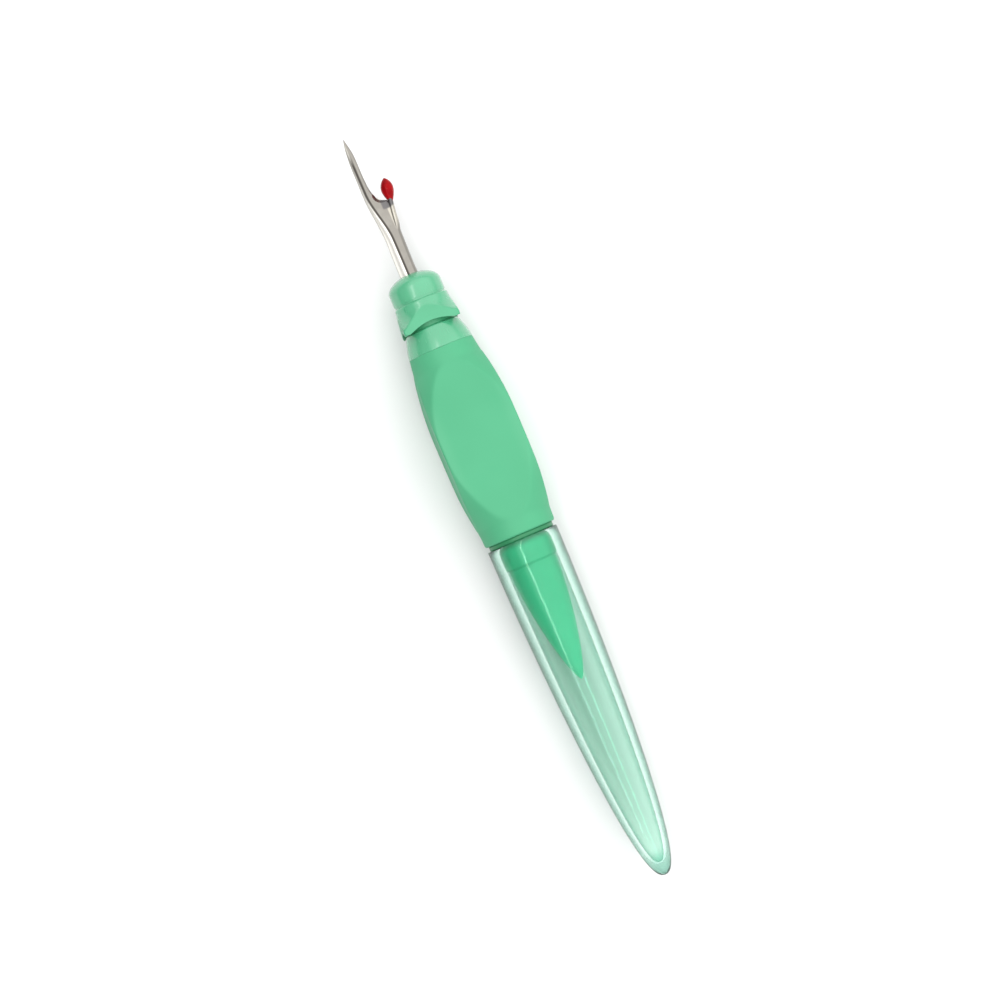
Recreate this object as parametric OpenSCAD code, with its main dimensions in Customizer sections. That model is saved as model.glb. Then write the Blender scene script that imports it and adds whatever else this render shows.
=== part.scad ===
// Seam ripper with a forged fork blade, a ball on its short prong, a mint handle of hard
// plastic with a soft grip moulded over it, and a clear cap posted on the handle's rear spigot.
// Millimetres. +X runs along the handle towards the blade's point, +Z is up. The handle lies on
// the belly of one flat, and the origin is under the middle of the whole length.

/* [Blade] */
// Length of the blade that stands out of the nose
blade_reach = 24.3; // [22:0.1:28]
// Diameter of the round shank
shank_d = 3.2; // [2.8:0.1:3.4]
// Thickness of the forged fork at its crook
fork_t = 1.5; // [1.3:0.1:1.8]
// Length of the tang inside the handle
tang_len = 22; // [14:1:26]

/* [Ball tip] */
// Diameter of the ball on the short prong
ball_d = 2.1; // [1.9:0.1:2.4]
// Length of the ball with its tail
ball_len = 3.6; // [3.2:0.1:4]

/* [Core] */
// Diameter of the nose and of the spigot, both of which hold the cap
nose_d = 9; // [8.8:0.1:9.2]
// Length of the nose ahead of the collar
nose_len = 4.4; // [4:0.1:5]
// Distance from the nose's front to the rear lip of the collar
collar_end = 9.7; // [9.5:0.05:10]
// Radius of the collar's lip on the corners between its flats
collar_corner_r = 7; // [6.6:0.05:7.2]
// Half the distance across the collar's flats at the lip
collar_flat = 4.88; // [4.8:0.02:5.1]
// Length of the spigot that carries the cap
spigot_len = 4.2; // [3.8:0.1:4.6]
// Length of the tapered tail behind the spigot
tail_len = 20.4; // [16:0.1:24]

/* [Grip] */
// Distance from the nose's front to the front edge of the soft grip
grip_start = 13.5; // [12.8:0.1:14]
// Distance from the nose's front to the rear edge of the soft grip
grip_end = 46.6; // [44:0.1:50]
// Half the distance across the flats at the belly
belly_flat = 6.86; // [6.8:0.02:7.2]
// Radius over the rounded corners at the belly
belly_corner_r = 9.7; // [9.2:0.1:9.8]

/* [Cap] */
// Length of the cap
cap_len = 59.8; // [56:0.1:64]
// Outer diameter of the cap at its mouth
cap_d = 12.2; // [12:0.1:12.6]
// Wall of the cap near its mouth
cap_wall = 1.62; // [1.56:0.02:1.7]
// Thickness of the solid end of the cap
cap_end = 2.3; // [1.8:0.1:3]
// Gap between the seat of the cap and the spigot, all round
seat_gap = 0.05; // [0.03:0.01:0.08]

/* [Hidden] */
$fn = 96;
steps = 14;                  // straight pieces in each curved stretch of an outline
eps = 0.01;
nose_r = nose_d / 2;
shank_r = shank_d / 2;
nose_round = 2.4;            // length of the rounded front of the nose
flange_len = 0.8;            // stop between the grip and the cap
flange_r = 5.9;
spigot_start = grip_end + flange_len;
tail_gap = 0.35;              // the spigot steps down to the tail, and the seat to the cavity, over this
tail_start = spigot_start + spigot_len + tail_gap;
tail_r = 4.1;
overall = blade_reach + spigot_start + cap_len;
nose_x = overall / 2 - blade_reach;
axis_z = belly_flat;
step_r = 4.67;               // front edge of the collar
groove_r = 4.43;
lip_back = 1.45;             // how far the collar's skirt hangs back over the groove
groove_end = collar_end + 0.5;
shoulder_r = 5.62;           // end of the dome, where the grip starts
stem_r = 3.1;
ring_r = 4.1;                // rings on the stem lock the soft grip on
ring_w = 2.4;
ring_gap = 6.4;
rib_w = 1.2;                 // ribs along the stem stop the grip from turning
grip_rear_flat = 6.2;
flat_from = 26.5;            // the flats are level from here to flat_to, so the tool lies still
flat_to = 36;
belly = 29.3;                // distance from the nose's front to the fullest place of the corners
flats_start = 15.9;          // the flats fade into the round here, and again at flats_end
flats_end = grip_end - 2.7;
ball_side = 2.2;             // offset of the ball from the blade's axis
ball_front = 8.38;           // distance from the blade's point to the front of the ball
pin_r = 0.34;                // the short prong ends in a pin inside the ball
pin_depth = 1.2;             // distance from the front of the ball to the end of the pin
nub_face = 11;               // distance from the blade's point to the face that the pin stands on
fork_len = 19.2;             // from the blade's point to the round shank
blend_end = 20.5;            // where the outlines of the fork end, inside the shank
blend_gap = 0.05;            // the fork is this much inside the shank's skin where they overlap
wing_len = 5;                // the tang is swaged out into two wings so that it can't turn
wing_w = 4.6;
wing_t = 1.1;

// Cubic from p to q with end slopes mp and mq over a stretch of length len, at fraction u
function ease(p, q, mp, mq, len, u) =
    p * (2 * u * u * u - 3 * u * u + 1) + q * (3 * u * u - 2 * u * u * u)
    + mp * len * u * (1 - u) * (1 - u) + mq * len * u * u * (u - 1);

// Pointed round end: full radius r at v = 0, closed at v = 1
function ogive(r, a, b, v) = r * pow(max(0, 1 - pow(v, a)), b);

// Smooth curve through the points p (Catmull-Rom), with the given straight pieces in each gap
function through(p, pieces = 5) = [
    for (i = [0 : len(p) - 2], j = [0 : pieces - 1])
        let (a = p[max(i - 1, 0)], b = p[i], c = p[i + 1], d = p[min(i + 2, len(p) - 1)], u = j / pieces)
            0.5 * (2 * b + (c - a) * u + (2 * a - 5 * b + 4 * c - d) * u * u
                + (3 * b - a - 3 * c + d) * u * u * u),
    p[len(p) - 1]
];

// The fork in plan, as [distance from the point, side]: the long prong is on the + side
outer_edge = through([[blend_end, 1.5], [18.2, 1.4], [15, 1.62], [11.5, 1.97], [7.5, 1.98], [3, 1.8], [0.1, 1.36]]);
prong_edge = through([[0, 1.24], [2, 0.84], [7.5, 0.68], [9.8, 0.42], [11.2, -0.25], [11.66, -0.9]]);
nub_edge = [[nub_face + 0.4, -1.35], [nub_face, -1.9], [nub_face, -2.4], [12.05, -2.34]];
side_edge = through([[14.2, -2.05], [16.7, -1.79], [18.3, -1.64], [blend_end, -1.55]]);
fork_plan = concat(outer_edge, prong_edge, nub_edge, side_edge);
// Half the fork's thickness, as [distance from the point, half thickness]
fork_side = through([[-0.2, 0.14], [1.5, 0.3], [6, 0.5], [11.5, fork_t / 2], [15, 0.9], [18, 1.35],
    [blend_end, shank_r]]);

// Puts a piece drawn along +Z, from the front of the nose backwards and with +X up, in the frame
module behind_nose(distance = 0) {
    translate([nose_x - distance, 0, axis_z]) rotate([0, -90, 0]) children();
}

// Extrudes an outline of [side, distance back] right through, seen from above
module seen_from_above(points, depth) {
    rotate([90, 0, 90]) linear_extrude(height = depth, center = true) polygon(points);
}

// Extrudes an outline of [height, distance back] right through, seen from the side
module seen_from_side(points, depth) {
    rotate([90, 0, 0]) linear_extrude(height = depth, center = true) polygon(points);
}

// Outline of [half width, distance] mirrored about the axis
function both_sides(half) = concat(half, [for (i = [len(half) - 1 : -1 : 0]) [-half[i][0], half[i][1]]]);

module fork() {
    wide = 2 * (ball_side + ball_d);
    inside_r = shank_r - blend_gap;
    envelope = [[0, -1], [wide, -1], [wide, 13], [inside_r, 18.8], [inside_r, blend_end + 0.5], [0, blend_end + 0.5]];
    intersection() {
        seen_from_above([for (p = fork_plan) [p[1], p[0]]], shank_d);
        seen_from_side(both_sides([for (p = fork_side) [p[1], p[0]]]), wide);
        rotate_extrude() polygon(envelope);
    }
    translate([0, -ball_side, ball_front + pin_depth]) cylinder(r = pin_r, h = nub_face - ball_front - pin_depth + 0.6);
}

module tang() {
    translate([0, 0, -1]) cylinder(r = shank_r, h = tang_len + 1);
    wings();
}

module wings() {
    translate([-wing_t / 2, -wing_w / 2, tang_len - wing_len]) cube([wing_t, wing_w, wing_len - 1]);
}

module blade() {
    color("silver") {
        behind_nose(-blade_reach) fork();
        behind_nose(-blade_reach + fork_len) cylinder(r = shank_r, h = blade_reach - fork_len + tang_len);
        behind_nose() wings();
    }
}

module ball_tip() {
    seat = nub_face - ball_front;
    egg = [for (i = [0 : 2 * steps]) let (v = i / (2 * steps) * seat / ball_len)
        [ball_d / 2 * sin(180 * pow(v, 0.75)), ball_len * v]];
    color("crimson") behind_nose(-blade_reach) translate([0, -ball_side, ball_front]) difference() {
        rotate_extrude() polygon(concat(egg, [[0, seat]]));
        translate([0, 0, pin_depth]) cylinder(r = pin_r, h = seat);
    }
}

// The stem under the grip; the grip is moulded round it, so both use this one shape
module stem() {
    translate([0, 0, grip_start]) cylinder(r = stem_r, h = grip_end - grip_start);
    for (i = [0 : 3])
        translate([0, 0, grip_start + ring_gap / 2 + i * (ring_w + ring_gap)]) cylinder(r = ring_r, h = ring_w);
    for (turn = [0, 90])
        rotate([0, 0, turn]) translate([-ring_r + 0.2, -rib_w / 2, grip_start + ring_gap / 2])
            cube([2 * ring_r - 0.4, rib_w, 3 * (ring_w + ring_gap)]);
}

// Front of the handle: rounded nose, step, flared collar, groove and dome
module head() {
    front = [for (i = [0 : steps]) let (t = 90 * i / steps) [nose_r * sin(t), nose_round * (1 - cos(t))]];
    dome = [for (i = [0 : steps]) let (u = i / steps)
        [ease(groove_r, shoulder_r, 0.35, 0.12, grip_start - groove_end, u), groove_end + (grip_start - groove_end) * u]];
    rotate_extrude() polygon(concat(
        front,
        [[nose_r, nose_len - 0.1], [nose_r - 0.12, nose_len + 0.3], [groove_r, nose_len + 0.4], [groove_r, groove_end]],
        dome,
        [[0, grip_start]]));
    collar();
}

module collar() {
    start = nose_len + 0.3;
    flare_len = collar_end - 0.35 - start;
    flat = both_sides([[step_r + 0.05, start - 1], [step_r + 0.05, start], [collar_flat, collar_end - 0.8],
        [collar_flat, collar_end + 1]]);
    flare = [for (i = [0 : steps]) let (u = i / steps)
        [step_r + (collar_corner_r - step_r) * u * u, start + 0.15 + (flare_len - 0.15) * u]];
    intersection() {
        rotate_extrude() polygon(concat(
            [[groove_r - 0.5, start], [step_r - 0.12, start]],
            flare,
            [[collar_corner_r, collar_end - 0.12], [collar_corner_r - 0.15, collar_end],
                [groove_r - 0.05, collar_end - lip_back], [groove_r - 0.5, collar_end - lip_back]]));
        seen_from_above(flat, 4 * collar_corner_r);
        seen_from_side(flat, 4 * collar_corner_r);
    }
}

// Rear of the handle: stop flange, spigot and tapered tail
module rear() {
    translate([0, 0, grip_end]) cylinder(r = flange_r, h = flange_len);
    tail = [for (i = [0 : 2 * steps]) let (v = 1 - pow(1 - i / (2 * steps), 2))
        [ogive(tail_r, 1.5, 0.7, v), tail_start + tail_len * v]];
    rotate_extrude() polygon(concat(
        [[0, spigot_start - eps], [nose_r, spigot_start - eps], [nose_r, spigot_start + spigot_len - 0.25],
            [nose_r - 0.25, spigot_start + spigot_len]],
        tail));
}

module core() {
    color("mediumaquamarine") behind_nose() difference() {
        union() {
            head();
            stem();
            rear();
        }
        tang();
    }
}

// Half the distance across the flats of the grip, at a distance behind the nose's front
function grip_flat(s) =
    let (ahead = flat_from - grip_start, behind = grip_end - flat_to)
    s < flat_from ? ease(shoulder_r, belly_flat, 0.14, 0, ahead, (s - grip_start) / ahead)
    : s > flat_to ? ease(belly_flat, grip_rear_flat, 0, -0.03, behind, (s - flat_to) / behind)
    : belly_flat;

// Radius over the corners of the grip: a parabola down from the belly that meets the flats where
// they fade out, and never less than the flats' own distance, so that the two ends are round
function grip_corner(s) =
    let (u = s < belly ? (belly - s) / (belly - flats_start) : (s - belly) / (flats_end - belly),
        fade_r = grip_flat(s < belly ? flats_start : flats_end))
    max(grip_flat(s), belly_corner_r - (belly_corner_r - fade_r) * u * u);

module grip() {
    at = [for (i = [0 : 2 * steps]) grip_start + (grip_end - grip_start) * i / (2 * steps)];
    flats = both_sides([for (s = at) [grip_flat(s), s]]);
    barrel = concat([[0, grip_start]], [for (s = at) [grip_corner(s), s]], [[0, grip_end]]);
    color("mediumseagreen") behind_nose() difference() {
        intersection() {
            rotate_extrude() polygon(barrel);
            seen_from_above(flats, 3 * belly_corner_r);
            seen_from_side(flats, 3 * belly_corner_r);
        }
        stem();
    }
}

// The cap: a seat for the spigot or the nose, then a tapering cavity and a solid end
module cap() {
    cap_r = cap_d / 2;
    cavity_len = cap_len - cap_end;
    at = [for (i = [0 : 2 * steps]) 1 - pow(1 - i / (2 * steps), 2)];
    outside = [for (v = at) [ogive(cap_r, 1.7, 0.41, v), cap_len * v]];
    inside = [for (v = at) if (cavity_len * v > spigot_len + tail_gap) [ogive(cap_r - cap_wall, 1.7, 0.41, v), cavity_len * v]];
    seat_r = nose_r + seat_gap;
    color("paleturquoise", 0.4) behind_nose(spigot_start) difference() {
        rotate_extrude() polygon(concat([[0, 0]], outside));
        rotate_extrude() polygon(concat([[0, spigot_len]], [[inside[0][0], spigot_len]], inside));
        translate([0, 0, -1]) cylinder(r = seat_r, h = spigot_len + 1);
    }
}

blade();
ball_tip();
core();
grip();
cap();
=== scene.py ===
# %% [markdown]
# # A seam ripper, piece by piece
# This file builds the looks of a seam ripper round a fixed CAD frame. The frame holds five
# solids: a forged blade, the ball on its short prong, a hard handle core, a soft grip moulded
# over the core, and a clear cap that slides off the rear. Each solid is stood in for by a
# smoother, finer surface here, and every surface is worked out from a formula on a grid.

# %% Load the frame and keep its size
import math

import bmesh
import bpy
import numpy as np
from mathutils import Matrix, Vector


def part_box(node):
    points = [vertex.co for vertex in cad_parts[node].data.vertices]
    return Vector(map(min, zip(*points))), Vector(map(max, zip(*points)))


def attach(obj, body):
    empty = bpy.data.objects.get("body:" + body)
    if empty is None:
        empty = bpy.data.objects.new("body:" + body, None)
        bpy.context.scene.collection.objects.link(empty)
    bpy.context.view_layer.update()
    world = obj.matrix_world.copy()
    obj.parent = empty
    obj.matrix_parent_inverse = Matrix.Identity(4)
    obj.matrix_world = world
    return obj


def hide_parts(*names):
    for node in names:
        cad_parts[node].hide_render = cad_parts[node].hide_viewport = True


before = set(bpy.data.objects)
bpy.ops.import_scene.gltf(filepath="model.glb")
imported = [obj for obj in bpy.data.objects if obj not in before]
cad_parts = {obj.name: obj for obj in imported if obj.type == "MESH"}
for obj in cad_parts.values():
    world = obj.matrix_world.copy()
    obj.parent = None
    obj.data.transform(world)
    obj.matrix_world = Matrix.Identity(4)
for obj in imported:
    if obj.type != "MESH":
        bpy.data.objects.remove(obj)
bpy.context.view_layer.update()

# %% [markdown]
# ## Places on the tool
# A maker measures a handle from one end. Here every station is a distance behind the front of
# the nose, so the blade has negative stations. The axis of the handle is a straight line along
# X. Its height, and the ends of the tool, come from the frame's own boxes.

# %% Units, axis and stations
MM = 0.001
_, blade_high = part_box("blade")
core_low, core_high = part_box("core")
grip_low, grip_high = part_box("grip")
cap_low, cap_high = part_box("cap")

axis_z = (grip_low.z + grip_high.z) / 2     # height of the handle's axis
nose_x = core_high.x                        # front of the nose
reach = blade_high.x - nose_x               # length of blade that stands out
grip_start = nose_x - grip_high.x
grip_end = nose_x - grip_low.x
cap_start = nose_x - cap_high.x
cap_len = cap_high.x - cap_low.x
tail_end = nose_x - core_low.x
belly_flat = (grip_high.y - grip_low.y) / 2
cap_r = (cap_high.y - cap_low.y) / 2
print(f"blade {reach / MM:.1f} mm, cap {cap_len / MM:.1f} mm")
print(f"grip {grip_start / MM:.1f} to {grip_end / MM:.1f} mm")

# %% [markdown]
# ## Surfaces from grids
# A grid of points joined into four-sided faces is the simplest closed surface: rings of points
# go round, and one ring follows another along the piece. The same few lines then make the
# handle, the cap, the ball and the blade, and only the formula for a ring changes. The first
# and last rings are closed with a fan of triangles to a middle point, so that there are no holes.

# %% Turn rings of points into a closed mesh
def tube_object(name, rings, closed_loop=False):
    """rings is an array (along, round, 3) in metres. Neighbouring rings are joined with quads.
    An open run of rings is closed at each end by triangles to the mean point of its end ring; a
    closed loop of rings is joined from the last ring back to the first."""
    along, around = rings.shape[:2]
    points = rings.reshape(-1, 3)
    i = np.arange(along if closed_loop else along - 1)[:, None]
    j = np.arange(around)[None, :]
    here, beyond = i * around, ((i + 1) % along) * around
    after = (j + 1) % around
    quads = np.stack([here + j, here + after, beyond + after, beyond + j], axis=-1).reshape(-1, 4)
    faces = quads.tolist()
    if not closed_loop:
        ends = np.array([rings[0].mean(axis=0), rings[-1].mean(axis=0)])
        points = np.concatenate([points, ends])
        first, last, top = along * around, along * around + 1, (along - 1) * around
        turn = np.arange(around)
        faces += np.stack([np.roll(turn, -1), turn, np.full(around, first)], axis=-1).tolist()
        faces += np.stack([top + turn, top + np.roll(turn, -1), np.full(around, last)], axis=-1).tolist()
    mesh = bpy.data.meshes.new(name)
    mesh.from_pydata(points.tolist(), [], faces)
    mesh.polygons.foreach_set("use_smooth", np.ones(len(mesh.polygons), dtype=bool))
    mesh.update()
    piece = bpy.data.objects.new(name, mesh)
    bpy.context.scene.collection.objects.link(piece)
    print(f"{name}: {len(mesh.vertices)} points, {len(mesh.polygons)} faces")
    return piece


def along_axis(station, up, side):
    """Points of the frame from a distance behind the nose's front, a height over the axis and a
    distance to the side: X = nose - station, Y = side, Z = axis height + up."""
    station, up, side = np.broadcast_arrays(station, up, side)
    return np.stack([nose_x - station, side, axis_z + up], axis=-1)


def smooth_curve(stations, values):
    """A function that runs smoothly through the given places: between two places it is the cubic
    whose end slopes are the slopes between the places on either side."""
    x, y = np.asarray(stations, float), np.asarray(values, float)
    slope = np.gradient(y, x)

    def value(s):
        s = np.clip(s, x[0], x[-1])
        k = np.clip(np.searchsorted(x, s, side="right") - 1, 0, len(x) - 2)
        length = x[k + 1] - x[k]
        u = (s - x[k]) / length
        return (y[k] * (2 * u**3 - 3 * u**2 + 1) + y[k + 1] * (3 * u**2 - 2 * u**3)
                + slope[k] * length * u * (1 - u) ** 2 + slope[k + 1] * length * u**2 * (u - 1))

    return value


def ease(p, q, slope_p, slope_q, length, u):
    """Cubic from p to q over a length, with the given slopes at its ends, at fraction u."""
    return (p * (2 * u**3 - 3 * u**2 + 1) + q * (3 * u**2 - 2 * u**3)
            + slope_p * length * u * (1 - u) ** 2 + slope_q * length * u**2 * (u - 1))


def ogive(radius, a, b, v):
    """A pointed round end: radius * (1 - v^a)^b, full at v = 0 and closed at v = 1."""
    return radius * np.clip(1 - v**a, 0, None) ** b


def packed_to_tip(count):
    """Fractions from 0 to 1 that crowd towards 1, where a round end turns fastest."""
    return 1 - (1 - np.linspace(0, 1, count)) ** 2


def face_outwards(piece):
    """Turns every face of a closed mesh to look outwards, and moves no point."""
    surface = bmesh.new()
    surface.from_mesh(piece.data)
    bmesh.ops.recalc_face_normals(surface, faces=surface.faces)
    surface.to_mesh(piece.data)
    surface.free()


# %% [markdown]
# ## The soft grip
# The grip is four gently bulged flats whose corners are rubbed round. In section, a flat at a
# distance h from the axis lies at a radius h / cos(angle), and the rounded corner lies at a
# radius R. The surface is the nearer of the two, and a soft minimum blends them over a tenth of
# a millimetre, as a mould does. Along the tool, h swells to the belly and falls again, and R is
# a longer, fuller bulge, so the corners fade out towards both ends and each flat ends in an arch.

# %% Build the grip
ROUND = 192                                  # points round the handle
angle = np.linspace(0, 2 * math.pi, ROUND, endpoint=False)[None, :]
from_flat = (angle + math.pi / 4) % (math.pi / 2) - math.pi / 4      # from the nearest flat's middle

shoulder_r = 5.62 * MM                       # where the dome ends and the grip starts
rear_flat = 6.2 * MM
corner_r = 9.75 * MM
belly = 29.3 * MM                            # where the corners are fullest
level_from, level_to = 26.5 * MM, 36 * MM    # the flats are level here, so that the tool lies still
flats_start = 15.9 * MM                      # where the flats fade into the round, and again:
flats_end = grip_end - 2.7 * MM
stem_r = 3.1 * MM


def softer_min(a, b, blend):
    """Smaller of two radii, with the crease between them rounded over about the blend."""
    low, high = np.minimum(a, b), np.maximum(a, b)
    return low - blend * np.log1p(np.exp(-(high - low) / blend))


def grip_flat(s):
    """Distance from the axis to a flat: an S from the shoulder, a level stretch, and an S down."""
    front_len, rear_len = level_from - grip_start, grip_end - level_to
    front_u = np.minimum((s - grip_start) / front_len, 1)
    rear_u = np.maximum((s - level_to) / rear_len, 0)
    ahead = ease(shoulder_r, belly_flat, 0.15, 0.0, front_len, front_u)
    behind = ease(belly_flat, rear_flat, 0.0, -0.02, rear_len, rear_u)
    return np.where(s < belly, ahead, behind)


def grip_corner(s):
    """Radius over the corners: a parabola down from the belly that meets the flats where they
    fade out. Past there it is the flats' own distance, so that both ends of the grip are round."""
    u = np.where(s < belly, (belly - s) / (belly - flats_start), (s - belly) / (flats_end - belly))
    fade_at = np.where(s < belly, flats_start, flats_end)
    fade_r = grip_flat(fade_at)
    bulge = corner_r - (corner_r - fade_r) * u**2
    return -softer_min(-bulge, -grip_flat(s), 0.06 * MM)


def rounded_end(s_end, radius, into, count=7):
    """Stations and the drop in radius over a rounded edge: a quarter circle that ends at s_end.
    into is +1 when the piece lies behind the edge and -1 when it lies ahead of it."""
    turn = np.linspace(0, math.pi / 2, count)
    return s_end + into * radius * (1 - np.sin(turn)), radius * (1 - np.cos(turn))


front_edge, rear_edge = 0.05 * MM, 0.4 * MM
front_s, front_drop = rounded_end(grip_start, front_edge, 1)
rear_s, rear_drop = rounded_end(grip_end, rear_edge, -1)
between_s = np.linspace(grip_start + front_edge, grip_end - rear_edge, 150)[1:-1]
grip_s = np.concatenate([front_s[::-1], between_s, rear_s])
grip_drop = np.concatenate([front_drop[::-1], np.zeros(len(between_s)), rear_drop])
s = grip_s[:, None]
radius = softer_min(grip_flat(s) / np.cos(from_flat), grip_corner(s), 0.09 * MM) - grip_drop[:, None]
bore = np.full((1, ROUND), stem_r)
radius = np.concatenate([bore, radius, bore])
s = np.concatenate([[[grip_start]], s, [[grip_end]]])
grip_rings = along_axis(s, radius * np.cos(angle), radius * np.sin(angle))
soft_grip = tube_object("soft_grip", grip_rings, closed_loop=True)
face_outwards(soft_grip)

# %% [markdown]
# ## The hard core
# Everything else of the handle is one moulding. Its profile runs from the hole that the blade
# comes out of, over the rounded nose, a fine step, the flared collar, a groove and the dome,
# then down to the stem inside the grip, and out again as the stop flange, the spigot and the
# tail. The collar alone isn't round: four flats are cut in its flare by the same soft minimum.

# %% Profile of the core, as stations and radii
nose_r = 4.5 * MM
dome_start, dome_start_r = 9.6 * MM, 4.62 * MM
blade_hole = 1.52 * MM
flange_r = 5.6 * MM
spigot_len = 4.2 * MM
tail_start = cap_start + spigot_len + 0.35 * MM
tail_r = 4.1 * MM
tail_shape = (1.5, 0.7)                      # the powers a and b of its ogive

arc = np.linspace(math.asin(blade_hole / nose_r), math.pi / 2, 28)
nose = np.stack([2.4 * MM * (1 - np.cos(arc)), nose_r * np.sin(arc)], axis=1)
step = MM * np.array([[3.4, 4.5], [4.2, 4.5], [4.34, 4.48], [4.46, 4.42], [4.56, 4.38],
                      [4.68, 4.39], [4.76, 4.45], [4.8, 4.54], [4.88, 4.61], [5.0, 4.66]])
flare_s = np.linspace(5.1, 8.8, 44)
flare = MM * np.stack([flare_s, 4.68 + (6.9 - 4.68) * ((flare_s - 5.1) / 3.7) ** 2], axis=1)
lip = MM * np.array([[8.98, 6.97], [9.16, 6.95], [9.32, 6.87], [9.46, 6.73],
                     [9.55, 6.56], [9.58, 6.38], [9.54, 6.22]])
under = MM * np.stack([np.linspace(9.46, 8.3, 16), np.linspace(6.08, 4.3, 16)], axis=1)
groove = MM * np.array([[8.26, 4.25], [8.3, 4.2], [8.8, 4.18], [9.3, 4.2],
                        [9.42, 4.24], [9.5, 4.34], [9.54, 4.5]])
u = np.linspace(0, 1, 26)
dome_len = grip_start - dome_start
dome = np.stack([dome_start + dome_len * u, ease(dome_start_r, shoulder_r, 0.42, 0.12, dome_len, u)], axis=1)
dome_edge = np.array([[grip_start, shoulder_r - 0.04 * MM], [grip_start, stem_r]])
print(f"nose {len(nose)}, collar {len(flare)}, dome {len(dome)} rings")

# %% Rear of the core, and the whole piece
spigot_end = cap_start + spigot_len
rear = np.array([
    [grip_end, stem_r], [grip_end, flange_r - 0.12 * MM], [grip_end + 0.04 * MM, flange_r - 0.03 * MM],
    [grip_end + 0.12 * MM, flange_r], [cap_start - 0.12 * MM, flange_r],
    [cap_start - 0.04 * MM, flange_r - 0.04 * MM],
    [cap_start - 0.01 * MM, flange_r - 0.12 * MM], [cap_start - 0.01 * MM, nose_r],
    [cap_start + 1.4 * MM, nose_r], [cap_start + 2.8 * MM, nose_r], [spigot_end - 0.3 * MM, nose_r],
    [spigot_end - 0.1 * MM, nose_r - 0.06 * MM], [spigot_end, nose_r - 0.2 * MM],
    [tail_start - 0.15 * MM, tail_r + 0.06 * MM]])
v = packed_to_tip(60)
tail_width = np.maximum(ogive(tail_r, *tail_shape, v), 0.002 * MM)
tail = np.stack([tail_start + (tail_end - tail_start) * v, tail_width], axis=1)
core_profile = np.concatenate([nose, step, flare, lip, under, groove, dome, dome_edge, rear, tail])

collar_flat = smooth_curve(MM * np.array([4.7, 5.5, 6.4, 7.2, 8.0, 9.2, 10.2]),
                           MM * np.array([4.72, 4.73, 4.75, 4.80, 4.85, 4.88, 4.88]))
s, radius = np.repeat(core_profile[:, :1], ROUND, axis=1), np.repeat(core_profile[:, 1:], ROUND, axis=1)
on_collar = np.zeros(s.shape, bool)
on_collar[len(nose) + 6:len(nose) + len(step) + len(flare) + len(lip) + len(under)] = True
facet_r = collar_flat(s) / np.cos(from_flat)
radius = np.where(on_collar, softer_min(radius, facet_r, 0.06 * MM), radius)

# %% End each flat where it meets the hollow behind the lip, so that its rear edge is an arch
under_low, under_high = under[-1], under[0]
lip_r_at = collar_flat(np.full((1, 1), 9 * MM)) / np.cos(from_flat)
lip_share = np.clip((lip_r_at - under_low[1]) / (under_high[1] - under_low[1]), 0, 1.12)
lip_at = under_low[0] + (under_high[0] - under_low[0]) * lip_share
beyond_lip = on_collar & (s > lip_at)
s, radius = np.where(beyond_lip, lip_at, s), np.where(beyond_lip, np.minimum(radius, lip_r_at), radius)
hard_core = tube_object("hard_core", along_axis(s, radius * np.cos(angle), radius * np.sin(angle)))
face_outwards(hard_core)

# %% [markdown]
# ## The clear cap
# Clear plastic only looks right when it has a real wall, because what the eye reads is light
# bent at the outer skin and again at the inner one. So the cap is one closed skin: down the
# outside to the mouth, over the rolled lip, and back up inside, past the seat that grips the
# spigot, to the end of its cavity. Outside and inside are both a blunt bullet: the radius is
# full at the mouth and closes as (1 - v^1.7)^0.41.

# %% Build the cap
cap_wall = 1.62 * MM
cavity_len = cap_len - 2.3 * MM
seat_r = 4.55 * MM
cap_shape = (1.7, 0.41)                      # the powers a and b of the bullet
v = packed_to_tip(90)
outer_r = np.maximum(ogive(cap_r, *cap_shape, v), 0.004 * MM)
outside = np.stack([cap_start + cap_len * v, outer_r], axis=1)[::-1]
mouth = np.array([
    [cap_start + 0.14 * MM, cap_r - 0.01 * MM], [cap_start + 0.05 * MM, cap_r - 0.05 * MM],
    [cap_start, cap_r - 0.15 * MM], [cap_start, seat_r + 0.25 * MM],
    [cap_start + 0.06 * MM, seat_r + 0.1 * MM],
    [cap_start + 0.2 * MM, seat_r], [cap_start + 1.5 * MM, seat_r], [cap_start + 3.0 * MM, seat_r],
    [spigot_end - 0.1 * MM, seat_r], [spigot_end, seat_r - 0.03 * MM]])
v = packed_to_tip(90)
v = v[cavity_len * v > spigot_len + 0.3 * MM]
inner_r = np.maximum(ogive(cap_r - cap_wall, *cap_shape, v), 0.004 * MM)
inside = np.stack([cap_start + cavity_len * v, inner_r], axis=1)
cap_profile = np.concatenate([outside[:-1], mouth, inside])
s, radius = cap_profile[:, :1], cap_profile[:, 1:]
clear_cap = tube_object("clear_cap", along_axis(s, radius * np.cos(angle), radius * np.sin(angle)))
face_outwards(clear_cap)

# %% [markdown]
# ## The forged blade
# A round wire is pressed flat and split at its end. Its section is a run of points round a
# closed loop: a rounded band on the side of the long prong, a ridge, a flat pressed face, and a
# small round on the other side. Each of those places follows its own smooth line along the
# blade. The crook is ground to an edge, so near its arc the steel is thinned by a bevel.

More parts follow.
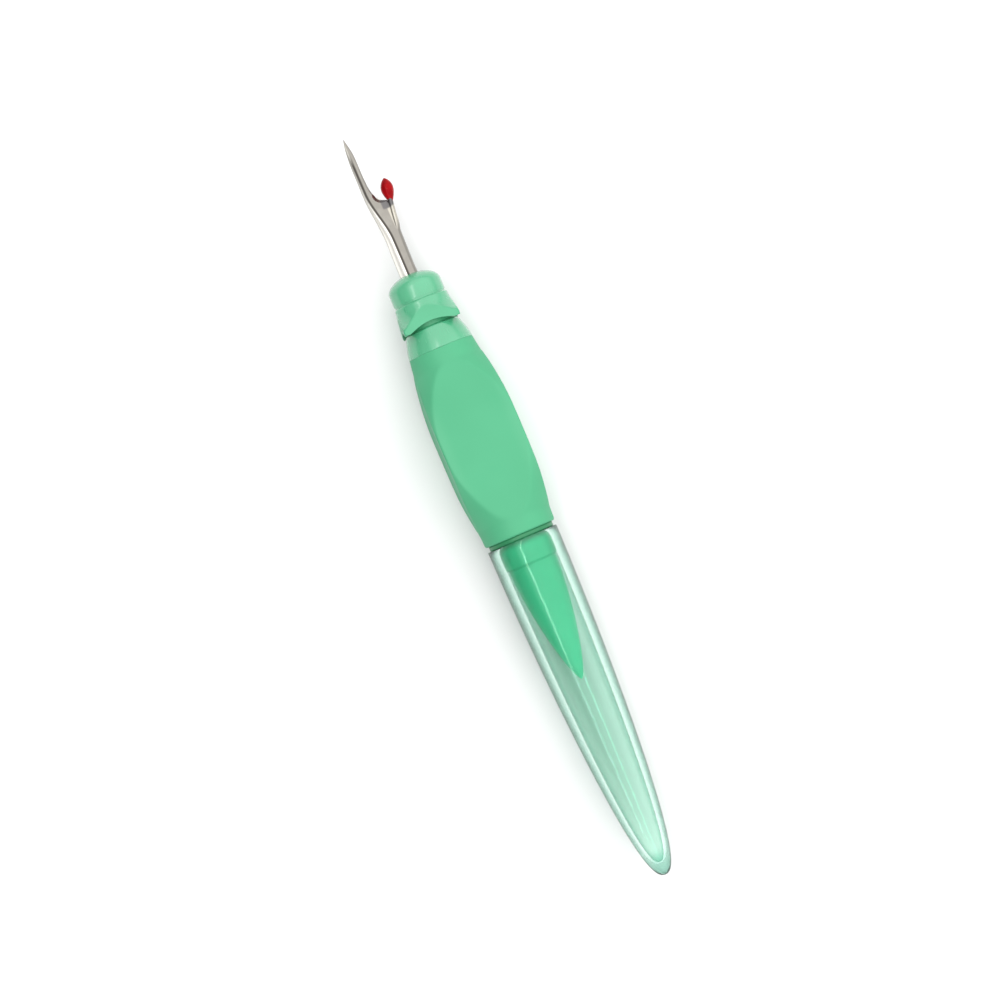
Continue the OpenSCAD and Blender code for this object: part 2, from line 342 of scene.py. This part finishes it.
# %% Lines along the blade, measured from its point
d_side = MM * np.array([0, 1.2, 3, 7.5, 11.5, 15, 18.2, 20.5, 30])
left_line = smooth_curve(d_side, MM * np.array([1.34, 1.62, 1.84, 1.98, 1.97, 1.62, 1.42, 1.5, 1.64]))
d_in = MM * np.array([0, 2, 7.5, 9.2, 10.1, 10.9, 11.35, 11.6, 11.75, 12.2, 14, 16.5, 18.5, 20.5, 30])
right_line = smooth_curve(d_in, MM * np.array([1.24, 0.84, 0.68, 0.55, 0.33, -0.04, -0.4, -0.85,
                                               -1.25, -1.6, -1.72, -1.62, -1.56, -1.5, -1.5]))
ridge_out, ridge_in = 1.5 * MM, 0.2 * MM     # the ridge is out along the prong, and in on the shank
turn_from, turn_to = 9.6 * MM, 18.4 * MM     # it crosses over between these


def ridge_line(d):
    """A smooth step from ridge_out to ridge_in, and always inside the outer edge."""
    u = np.clip((d - turn_from) / (turn_to - turn_from), 0, 1)
    return np.minimum(ridge_out - (ridge_out - ridge_in) * u * u * (3 - 2 * u), left_line(d) - 0.12 * MM)


d_thick = MM * np.array([0, 1.5, 6, 11.5, 15, 18, 20.5, 30])
thick_line = smooth_curve(d_thick, MM * np.array([0.14, 0.3, 0.5, 0.72, 0.95, 1.3, 1.5, 1.52]))
crook_d, crook_y, crook_r = 10.5 * MM, -0.95 * MM, 1.14 * MM


def blade_rings(d, around=28):
    """Sections across the blade at distances d from its point. Each goes from the right edge
    over the top to the left edge and back underneath: a quarter ellipse up from the right edge,
    a pressed flat to the ridge, and a quarter ellipse down to the left edge."""
    d = d[:, None]
    left, right, ridge, thick = left_line(d), right_line(d), ridge_line(d), thick_line(d)
    round_w = np.minimum(0.75 * MM, 0.45 * (ridge - right))
    up = np.linspace(0, math.pi / 2, around)[None, :]
    flat = np.linspace(0, 1, around + 2)[None, 1:-1]
    tilt = 0.1 * np.clip(ridge - right - round_w, 0, None)
    side = [right + round_w * (1 - np.cos(up)), right + round_w + (ridge - right - round_w) * flat,
            ridge + (left - ridge) * np.sin(up)]
    height = [(thick - tilt) * np.sin(up), thick - tilt * (1 - flat), thick * np.cos(up)]
    side, height = np.concatenate(side, axis=1), np.concatenate(height, axis=1)
    from_crook = np.hypot(d - crook_d, side - crook_y)
    ground = 0.05 * MM + 1.2 * np.clip(from_crook - crook_r, 0, None)
    near = (side < ridge) & (d < 15 * MM) & (d > 9 * MM)
    height = np.where(near, np.minimum(height, ground), height)
    side = np.concatenate([side, side[:, -2:0:-1]], axis=1)
    height = np.concatenate([height, -height[:, -2:0:-1]], axis=1)
    return along_axis(d - reach, height, side)


# %% Long prong and shank, then the short prong, joined into one solid
shank_end = reach + 3 * MM
d_all = MM * np.concatenate([
    np.linspace(0, 0.6, 10)[:-1] ** 1.5, np.linspace(0.5, 9, 70)[:-1], np.linspace(9, 12.6, 110)[:-1],
    np.linspace(12.6, 21, 80)[:-1], np.linspace(21, shank_end / MM, 16)])
fork_blade = tube_object("fork_blade", blade_rings(d_all))
face_outwards(fork_blade)

d_nub = np.linspace(10.6, 18, 60)[:, None] * MM
d_place = MM * np.array([10.6, 12, 14.2, 16.6, 18])
nub_y = smooth_curve(d_place, MM * np.array([-2.17, -1.93, -1.58, -1.2, -0.8]))
nub_w = smooth_curve(d_place, MM * np.array([0.3, 0.42, 0.5, 0.56, 0.5]))
nub_h = smooth_curve(d_place, MM * np.array([0.34, 0.62, 0.92, 1.04, 0.9]))
turn = np.linspace(0, 2 * math.pi, 64, endpoint=False)[None, :]
short_prong = tube_object("short_prong", along_axis(
    d_nub - reach, nub_h(d_nub) * np.sin(turn), nub_y(d_nub) + nub_w(d_nub) * np.cos(turn)))
face_outwards(short_prong)


def weld(piece, other):
    """Joins another closed mesh into a piece with an exact union, and keeps the result as its mesh."""
    union = piece.modifiers.new("weld", "BOOLEAN")
    union.operation, union.solver, union.object = "UNION", "EXACT", other
    evaluated = piece.evaluated_get(bpy.context.evaluated_depsgraph_get())
    joined = bpy.data.meshes.new_from_object(evaluated)
    piece.modifiers.remove(union)
    old, piece.data = piece.data, joined
    bpy.data.meshes.remove(old)
    bpy.data.objects.remove(other)
    print(f"{piece.name}: {len(joined.polygons)} faces after the weld")


weld(fork_blade, short_prong)

# %% [markdown]
# ## The ball
# The ball is a bead of plastic dipped on the end of the short prong. It is round in front and
# draws out into a tail along the prong, so its radius is that of sin(pi * v^0.75): widest before
# the middle and closed at both ends.

# %% Build the ball
ball_side, ball_front, ball_len, ball_r = 2.2 * MM, 8.3 * MM, 4.6 * MM, 1.07 * MM
v = (1 - np.cos(np.linspace(0, math.pi, 56)))[:, None] / 2
radius = np.maximum(ball_r * np.sin(math.pi * np.clip(v, 0, 1) ** 0.75), 0.003 * MM)
lean = 0.09 * ball_len * (v - 0.4)
turn = np.linspace(0, 2 * math.pi, 72, endpoint=False)[None, :]
red_ball = tube_object("red_ball", along_axis(
    ball_front + ball_len * v - reach, radius * np.sin(turn), -ball_side + lean + radius * np.cos(turn)))
face_outwards(red_ball)

# %% [markdown]
# ## Writing materials as expressions
# A procedural material is arithmetic on the place of each point. Written as nodes it is long to
# read, so a small class wraps a node's output and gives it the usual signs: adding, multiplying
# or subtracting two wrapped values adds the Math node that does it. One method makes every
# other kind of node from its type, its settings and its inputs.

# %% Shader values that can be added and multiplied
class Value:
    """A number that varies over the surface: the output socket of a node in a material's tree."""

    def __init__(self, tree, socket):
        self.tree, self.socket = tree, socket

    def math(self, operation, *others, clamp=False):
        node = self.tree.nodes.new("ShaderNodeMath")
        node.operation, node.use_clamp = operation, clamp
        for slot_in, given in zip(node.inputs, (self, *others)):
            if isinstance(given, Value):
                self.tree.links.new(given.socket, slot_in)
            else:
                slot_in.default_value = given
        return Value(self.tree, node.outputs[0])

    def __add__(self, other):
        return self.math("ADD", other)

    def __mul__(self, other):
        return self.math("MULTIPLY", other)

    def __sub__(self, other):
        return self.math("SUBTRACT", other)

    def __rsub__(self, other):
        return (self * -1.0).math("ADD", other)

    __radd__, __rmul__ = __add__, __mul__

    def between(self, low, high):
        """0 below low, 1 above high, and a smooth step between them."""
        node = self.tree.nodes.new("ShaderNodeMapRange")
        node.interpolation_type = "SMOOTHSTEP"
        self.tree.links.new(self.socket, node.inputs["Value"])
        node.inputs["From Min"].default_value, node.inputs["From Max"].default_value = low, high
        return Value(self.tree, node.outputs[0])


class Finish:
    """A material with one Principled shader, and the means to wire patterns into it."""

    def __init__(self, name, viewport, **constants):
        self.material = bpy.data.materials.new(name)
        self.material.use_nodes = True
        self.material.diffuse_color = viewport
        self.tree = self.material.node_tree
        self.shader = self.tree.nodes["Principled BSDF"]
        for socket, value in constants.items():
            self.shader.inputs[socket.replace("_", " ")].default_value = value
        coordinates = self.tree.nodes.new("ShaderNodeTexCoord")
        self.place = coordinates.outputs["Object"]

    def node(self, kind, output=0, settings=None, **inputs):
        """Makes a node of a kind, with its settings first and then values or links for its inputs."""
        made = self.tree.nodes.new("ShaderNode" + kind)
        for key, value in (settings or {}).items():
            setattr(made, key, value)
        for key, value in inputs.items():
            self.put(made.inputs[key.replace("_", " ")], value)
        return Value(self.tree, made.outputs[output])

    def put(self, socket, value):
        if isinstance(value, Value):
            self.tree.links.new(value.socket, socket)
        elif isinstance(value, bpy.types.NodeSocket):
            self.tree.links.new(value, socket)
        else:
            socket.default_value = value

    def stretched(self, x, y, z):
        """The place on the piece, multiplied along each axis: a small factor draws a pattern out."""
        mapped = self.node("Mapping", settings={"vector_type": "POINT"}, Vector=self.place, Scale=(x, y, z))
        return mapped.socket

    def noise(self, scale, detail=2.0, roughness=0.5, vector=None, distortion=0.0):
        return self.node("TexNoise", Vector=vector or self.place, Scale=scale, Detail=detail,
                         Roughness=roughness, Distortion=distortion)

    def axis(self, letter):
        """The X, Y or Z coordinate of the place, in metres."""
        split = self.tree.nodes.new("ShaderNodeSeparateXYZ")
        self.tree.links.new(self.place, split.inputs[0])
        return Value(self.tree, split.outputs[letter])

    def blend(self, first, second, factor):
        """Two colours mixed by a value from 0 to 1."""
        mixer = self.tree.nodes.new("ShaderNodeMix")
        mixer.data_type = "RGBA"
        sockets = (mixer.inputs["Factor"], mixer.inputs[6], mixer.inputs[7])
        for socket, value in zip(sockets, (factor, first, second)):
            self.put(socket, value)
        return Value(self.tree, mixer.outputs[2])

    def bump(self, height, distance, strength=1.0, under=None):
        """A normal tilted as though the surface rose by distance where the height is 1."""
        extra = {"Normal": under} if under else {}
        return self.node("Bump", Height=height, Distance=distance, Strength=strength, **extra)

    def wear(self, **sockets):
        """Wires values into the shader's own sockets."""
        for socket, value in sockets.items():
            self.put(self.shader.inputs[socket.replace("_", " ")], value)
        print(f"{self.material.name}: {len(self.tree.nodes)} nodes")
        return self.material


# %% [markdown]
# ## Two mints, one colour
# The core and the grip are dyed alike but finished differently. The hard core comes out of a
# polished mould, so it has a clear gloss with a faint ripple. The soft grip is a rubbery plastic
# out of a spark-eroded mould: its skin is a very fine grain that scatters the light, a little
# smoother where fingers have rubbed the corners of the belly.

# %% The hard mint plastic
MINT = (0.064, 0.35, 0.182, 1.0)
MINT_DEEP = (0.058, 0.328, 0.168, 1.0)
MINT_PAINTED_SHADE = (0.036, 0.27, 0.125, 1.0)       # painted shade on the floor of the groove behind the collar
MINT_GAP_PAINTED_SHADE = (0.012, 0.2, 0.075, 1.0)          # painted shade on the stop flange, in the gap between the grip and the cap
MINT_TAIL_PAINTED_LIGHT = (0.028, 0.54, 0.28, 1.0)         # painted light: the spigot and tail, seen through the cap, get a brighter mint for the light through the thin tail


GROOVE_FRONT = (8.2 * MM, 8.5 * MM)          # where the groove's rougher finish and its painted shade fade in
GROOVE_REAR = (9.4 * MM, 9.6 * MM)           # and out
FACET_OUT = (4.70 * MM, 4.735 * MM)          # farther out than this the skin is one of the cut flats


def hard_mint():
    finish = Finish("mint_hard_plastic", MINT, IOR=1.52, Coat_IOR=1.5, Coat_Roughness=0.22)
    station = nose_x - finish.axis("X")
    out = finish.axis("Y").math("ABSOLUTE").math("MAXIMUM", (finish.axis("Z") - axis_z).math("ABSOLUTE"))
    at_groove = station.between(*GROOVE_FRONT) * (1.0 - station.between(*GROOVE_REAR))
    cut = out.between(*FACET_OUT) * station.between(5.5 * MM, 5.8 * MM)
    on_facet = cut * (1.0 - station.between(9.8 * MM, 10 * MM))
    ahead_of_grip = 1.0 - station.between(grip_start, grip_start + 2 * MM)
    polished = ahead_of_grip * (1.0 - at_groove) * (1.0 - on_facet)
    cloud = finish.noise(180.0, 3.0)
    ripple = finish.noise(900.0, 2.0)
    flow = finish.noise(60.0, 2.0, vector=finish.stretched(0.25, 1.0, 1.0))
    specks = finish.noise(5200.0, 1.0).between(0.68, 0.8)
    scratches = finish.noise(2600.0, 2.0, vector=finish.stretched(0.08, 1.0, 1.0)).between(0.6, 0.78)
    # painted shade: the floor of the groove is darkened
    groove_painted_shade = at_groove * (1.0 - out.between(4.35 * MM, 4.6 * MM))
    # painted shade: the stop flange between the grip and the cap is darkened
    flange_painted_shade = station.between(grip_end - 0.05 * MM, grip_end)
    flange_painted_shade = flange_painted_shade * (1.0 - station.between(cap_start, cap_start + 0.05 * MM))
    colour = finish.blend(MINT_DEEP, MINT, cloud.between(0.35, 0.65))
    colour = finish.blend(colour.socket, MINT_PAINTED_SHADE, groove_painted_shade)
    colour = finish.blend(colour.socket, MINT_GAP_PAINTED_SHADE, flange_painted_shade)
    # painted light: a brighter mint from the spigot back to the tail
    colour = finish.blend(colour.socket, MINT_TAIL_PAINTED_LIGHT, station.between(grip_end + 1 * MM, grip_end + 2 * MM))
    return finish.wear(
        Base_Color=colour,
        Roughness=0.17 + 0.07 * flow + 0.05 * ripple + 0.1 * scratches + 0.2 * (1.0 - polished),
        Coat_Weight=0.7 * polished,
        Normal=finish.bump(ripple + 0.25 * specks, 0.004 * MM,
                           under=finish.bump(scratches, 0.0012 * MM).socket))


# %% The soft grip's skin
GRIP_MINT = (0.056, 0.336, 0.168, 1.0)
GRIP_DEEP = (0.051, 0.318, 0.157, 1.0)
GRIP_PALE = (0.070, 0.350, 0.182, 1.0)


def soft_mint():
    finish = Finish("mint_soft_grip", GRIP_MINT, IOR=1.48)
    grain = finish.noise(9500.0, 2.0, 0.6)
    cells = finish.node("TexVoronoi", 0, {"feature": "SMOOTH_F1"}, Vector=finish.place,
                        Scale=4200.0, Smoothness=0.6)
    handled = finish.noise(110.0, 3.0).between(0.4, 0.68)
    cloud = finish.noise(70.0, 2.0)
    sideways = finish.axis("Y").math("ABSOLUTE")
    upwards = (finish.axis("Z") - axis_z).math("ABSOLUTE")
    rubbed = (sideways + upwards).between(11.2 * MM, 13.6 * MM)      # largest at the belly's corners
    colour = finish.blend(GRIP_DEEP, GRIP_MINT, cloud.between(0.3, 0.7))
    colour = finish.blend(colour.socket, GRIP_PALE, rubbed * 0.5)
    return finish.wear(
        Base_Color=colour,
        Roughness=0.56 + 0.08 * handled + 0.06 * grain - 0.12 * rubbed,
        Normal=finish.bump(grain + 0.6 * cells, 0.006 * MM, 0.7))


# %% [markdown]
# ## Clear green plastic
# The cap is polished styrene with a breath of green. Light goes through it twice on each side, so a faint
# tint on the shader deepens to the colour of the thick, solid end. Seen edge on, a Layer Weight node makes
# the wall deeper still: partly the tint of light that runs a long way inside it, and partly painted shade,
# with a painted dark edge at the outline. Its roughness is low but not nothing: flow marks run along it from
# the mould's gate at the tip, and fine rubs show near the mouth, where it goes on and off.

# %% The cap's plastic
CLEAR_GREEN = (0.80, 0.985, 0.905, 1.0)
CLEAR_DEEP = (0.77, 0.965, 0.88, 1.0)
CLEAR_THICK = (0.40, 0.72, 0.60, 1.0)        # the solid end
CLEAR_RIM_TINT_AND_SHADE = (0.20, 0.47, 0.35, 1.0)          # partly the tint of a long path, partly painted shade: where the eye looks along the wall, not through it
CLEAR_OUTLINE_PAINTED_SHADE = (0.015, 0.10, 0.055, 1.0)       # painted shade: a dark edge on the last sliver of wall before the outline


def clear_green():
    finish = Finish("clear_green_plastic", (0.6, 0.9, 0.78, 0.5), IOR=1.45, Transmission_Weight=1.0,
                    Specular_Tint=(0.6, 0.9, 0.78, 1.0))
    flow = finish.noise(140.0, 3.0, vector=finish.stretched(0.12, 1.0, 1.0))
    rubs = finish.noise(2200.0, 2.0, vector=finish.stretched(0.2, 1.0, 1.0)).between(0.62, 0.8)
    near_mouth = finish.axis("X").between(cap_high.x - 9 * MM, cap_high.x)
    colour = finish.blend(CLEAR_DEEP, CLEAR_GREEN, flow.between(0.3, 0.7))
    turned = finish.node("LayerWeight", "Facing", Blend=0.5)
    # partly tint and partly painted shade, where the wall is seen edge on
    along_wall = turned.between(0.10, 0.62)
    # painted shade: a dark edge along the cap's outline, by view angle
    outline_painted_shade = turned.between(0.58, 0.82)
    solid_end = 1.0 - finish.axis("X").between(cap_low.x + 1.5 * MM, cap_low.x + 5 * MM)
    colour = finish.blend(colour.socket, CLEAR_THICK, solid_end)
    colour = finish.blend(colour.socket, CLEAR_RIM_TINT_AND_SHADE, along_wall)
    colour = finish.blend(colour.socket, CLEAR_OUTLINE_PAINTED_SHADE, outline_painted_shade)
    return finish.wear(
        Base_Color=colour,
        Roughness=0.02 + 0.02 * flow + 0.07 * rubs * near_mouth + 0.20 * along_wall,
        Normal=finish.bump(flow, 0.02 * MM, 0.5))


# %% [markdown]
# ## Nickel over steel
# The blade is plated, so it is bright but warm, with the fine lines of the polishing wheel along it. The
# rounded band is given the brightest colour, partly the plating's own and partly a painted reflection. The
# pressed flat is given a darker colour, which is a painted dark reflection; a painted dark line runs where
# the two meet; the blade's sides near its middle height are darkened with painted shade; and the ground
# crook is the bare grey steel of a cutting edge. Masks for these places follow the same lines along the
# blade that shaped it.

# %% The blade's metal
# the band's bright colour: partly the plating's own, partly a painted reflection
BAND = (0.95, 0.925, 0.86, 1.0)
# painted shade on the blade's sides, near its middle height
BAND_SIDE_PAINTED_SHADE = (0.42, 0.40, 0.36, 1.0)
# painted dark reflection on the pressed flat
PRESSED_PAINTED_DARK = (0.255, 0.24, 0.215, 1.0)
NUB = (0.46, 0.435, 0.375, 1.0)
# painted dark reflection along the ridge, also used for the real dark pits
RIDGE_PAINTED_DARK = (0.06, 0.055, 0.048, 1.0)
GROUND_STEEL = (0.14, 0.135, 0.135, 1.0)


def plated_steel():
    finish = Finish("nickel_plated_steel", BAND, Metallic=1.0)
    y = finish.axis("Y")
    d = nose_x + reach - finish.axis("X")
    lines = finish.noise(5200.0, 3.0, 0.6, vector=finish.stretched(0.05, 1.0, 1.0))
    haze = finish.noise(420.0, 3.0)
    pits = finish.noise(3800.0, 1.0).between(0.7, 0.82)
    ridge = ridge_out - (ridge_out - ridge_in) * d.between(turn_from, turn_to)
    pressed = (ridge - y).between(-0.1 * MM, 0.2 * MM)
    ridge_painted_dark_line = (1.0 - (ridge - y).math("ABSOLUTE").between(0.1 * MM, 0.3 * MM)) * d.between(1.5 * MM, 5 * MM)
    on_nub = (1.0 - y.between(-1.05 * MM, -0.8 * MM)) * d.between(11.8 * MM, 13.4 * MM)
    nub = on_nub * (1.0 - d.between(15.0 * MM, 17.4 * MM))
    from_crook = ((d - crook_d) * (d - crook_d) + (y - crook_y) * (y - crook_y)).math("SQRT")
    web = (1.0 - from_crook.between(2.5 * MM, 2.9 * MM)) * d.between(11.3 * MM, 11.6 * MM)
    web = web * (1.0 - y.between(-0.4 * MM, -0.1 * MM))
    height = (finish.axis("Z") - axis_z).math("ABSOLUTE")
    # painted shade: the sides are darker than the top and bottom faces
    colour = finish.blend(BAND_SIDE_PAINTED_SHADE, BAND, height.between(0.2 * MM, 0.7 * MM))
    # painted dark reflection over the pressed flat
    colour = finish.blend(colour.socket, PRESSED_PAINTED_DARK, pressed * (0.85 + 0.3 * haze))
    colour = finish.blend(colour.socket, NUB, nub)
    colour = finish.blend(colour.socket, GROUND_STEEL, web)
    # a painted dark line along the ridge, plus the real dark pits
    colour = finish.blend(colour.socket, RIDGE_PAINTED_DARK, ridge_painted_dark_line + 0.15 * pits)
    return finish.wear(
        Base_Color=colour,
        Roughness=0.38 + 0.1 * haze - 0.1 * pressed + 0.1 * web,
        Normal=finish.bump(lines, 0.0025 * MM, 0.8))


# %% [markdown]
# ## Red dip
# The ball is dipped, so its surface is a set drop: very glossy, with a slight waviness, and a
# deeper colour where the dip ran thick.

# %% The ball's plastic
RED = (0.30, 0.0008, 0.003, 1.0)
RED_DEEP = (0.19, 0.0, 0.002, 1.0)


def red_dip():
    finish = Finish("red_dipped_plastic", RED, IOR=1.4, Coat_Roughness=0.04,
                    Specular_Tint=(1.0, 0.12, 0.12, 1.0))
    swell = finish.noise(700.0, 2.0)
    dust = finish.noise(6000.0, 1.0).between(0.7, 0.8)
    colour = finish.blend(RED_DEEP, RED, swell.between(0.3, 0.6))
    return finish.wear(
        Base_Color=colour,
        Roughness=0.16 + 0.08 * swell + 0.1 * dust,
        Coat_Weight=0.06 + 0.06 * swell,
        Normal=finish.bump(swell, 0.03 * MM, 0.6))


# %% Dress the pieces and tie them to the frame
DRESSED = [
    (fork_blade, "blade", "handle", "blade_steel", plated_steel()),
    (red_ball, "ball_tip", "handle", "ball_plastic", red_dip()),
    (hard_core, "core", "handle", "core_plastic", hard_mint()),
    (soft_grip, "grip", "handle", "grip_rubber", soft_mint()),
    (clear_cap, "cap", "cap", "cap_plastic", clear_green()),
]
for piece, node, body, slot_name, material in DRESSED:
    piece.data.materials.clear()
    piece.data.materials.append(material)
    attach(piece, body)
    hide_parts(node)
    print(f"{piece.name} stands for {node} on body {body}")

# %% [markdown]
# ## The table, the light and the camera
# The tool lies on a white table. The camera looks almost straight down, from a little over half
# a metre, with a long lens, turned so that the blade points up and to the left. A bright room
# gives the soft light, and it is dimmer low on the left, so a faint shadow falls to that side.
# One long, thin strip light draws the streak of gloss along the cap.

# %% Camera
LENS, SENSOR, DISTANCE = 125.0, 36.0, 570 * MM
TURN = math.radians(66.87)                   # how steeply the tool lies in the camera's view
aim = Vector((1.2 * MM, 0.8 * MM, axis_z))
foot = Vector((-6 * MM, 36 * MM, 0))
camera_at = aim + foot + Vector((0, 0, math.sqrt(DISTANCE**2 - foot.length_squared)))
look = (aim - camera_at).normalized()
tool = (Vector((1, 0, 0)) - look * look.x).normalized()
across = look.cross(tool)
right = across * math.sin(TURN) - tool * math.cos(TURN)
up = tool * math.sin(TURN) + across * math.cos(TURN)
camera_data = bpy.data.cameras.new("camera")
camera_data.lens, camera_data.sensor_width = LENS, SENSOR
camera = bpy.data.objects.new("camera", camera_data)
camera.matrix_world = Matrix.Translation(camera_at) @ Matrix((right, up, -look)).transposed().to_4x4()
bpy.context.scene.collection.objects.link(camera)
bpy.context.scene.camera = camera
print("camera at", [round(c / MM) for c in camera_at], "mm")


# %% Table
def white_table():
    finish = Finish("white_table", (0.9, 0.9, 0.9, 1.0), IOR=1.4)
    grain = finish.noise(900.0, 2.0)
    tone = finish.blend((0.745, 0.745, 0.745, 1.0), (0.765, 0.765, 0.765, 1.0), finish.noise(12.0, 2.0))
    return finish.wear(Base_Color=tone, Roughness=0.72 + 0.1 * grain)


table_size = 12.0                            # metres each way, so its edge stays far off
corners = np.array([[-1, -1, 0], [1, -1, 0], [1, 1, 0], [-1, 1, 0]]) * table_size
table_mesh = bpy.data.meshes.new("table")
table_mesh.from_pydata(corners.tolist(), [], [[0, 1, 2, 3]])
table_mesh.materials.append(white_table())
table = bpy.data.objects.new("table", table_mesh)
bpy.context.scene.collection.objects.link(table)


# %% Lights
def soft_box(name, to_right, to_top, height, width, length, power):
    """An area light pointed at the tool, placed along the camera's own right and up directions."""
    place = (right * to_right + up * to_top)
    place.z = 0
    place = place + Vector((0, 0, height))
    data = bpy.data.lights.new(name, "AREA")
    data.shape, data.size, data.size_y, data.energy = "RECTANGLE", width, length, power
    lamp = bpy.data.objects.new(name, data)
    facing = (aim - place).normalized()
    side = facing.cross(up).normalized()
    turned = Matrix((side, side.cross(facing), -facing)).transposed().to_4x4()
    lamp.matrix_world = Matrix.Translation(place) @ turned
    bpy.context.scene.collection.objects.link(lamp)
    return lamp


soft_box("strip", to_right=-0.36, to_top=-0.15, height=1.12, width=0.05, length=1.30, power=2.2)

# %% The room: bright overhead and to the right, dim low on the left
BRIGHT, DIM = 1.95, 0.65
EDGE = math.radians(34)                      # the bright part begins this far left of overhead
HORIZON = 0.35                               # share of the light that is left at the horizon
world = bpy.data.worlds.new("room")
world.use_nodes = True
background = world.node_tree.nodes["Background"]
background.inputs["Color"].default_value = (1.0, 1.0, 1.0, 1.0)
direction = world.node_tree.nodes.new("ShaderNodeTexCoord")
split = world.node_tree.nodes.new("ShaderNodeSeparateXYZ")
world.node_tree.links.new(direction.outputs["Generated"], split.inputs[0])
sideways = Value(world.node_tree, split.outputs["Y"])
upwards = Value(world.node_tree, split.outputs["Z"])
in_bright = (upwards * math.sin(EDGE) - sideways * math.cos(EDGE)).between(-0.09, 0.09)
above_horizon = HORIZON + (1 - HORIZON) * upwards.between(0.04, 0.42)
strength = (DIM + (BRIGHT - DIM) * in_bright) * above_horizon
world.node_tree.links.new(strength.socket, background.inputs["Strength"])
bpy.context.scene.world = world
bpy.context.scene.view_settings.view_transform = "Standard"
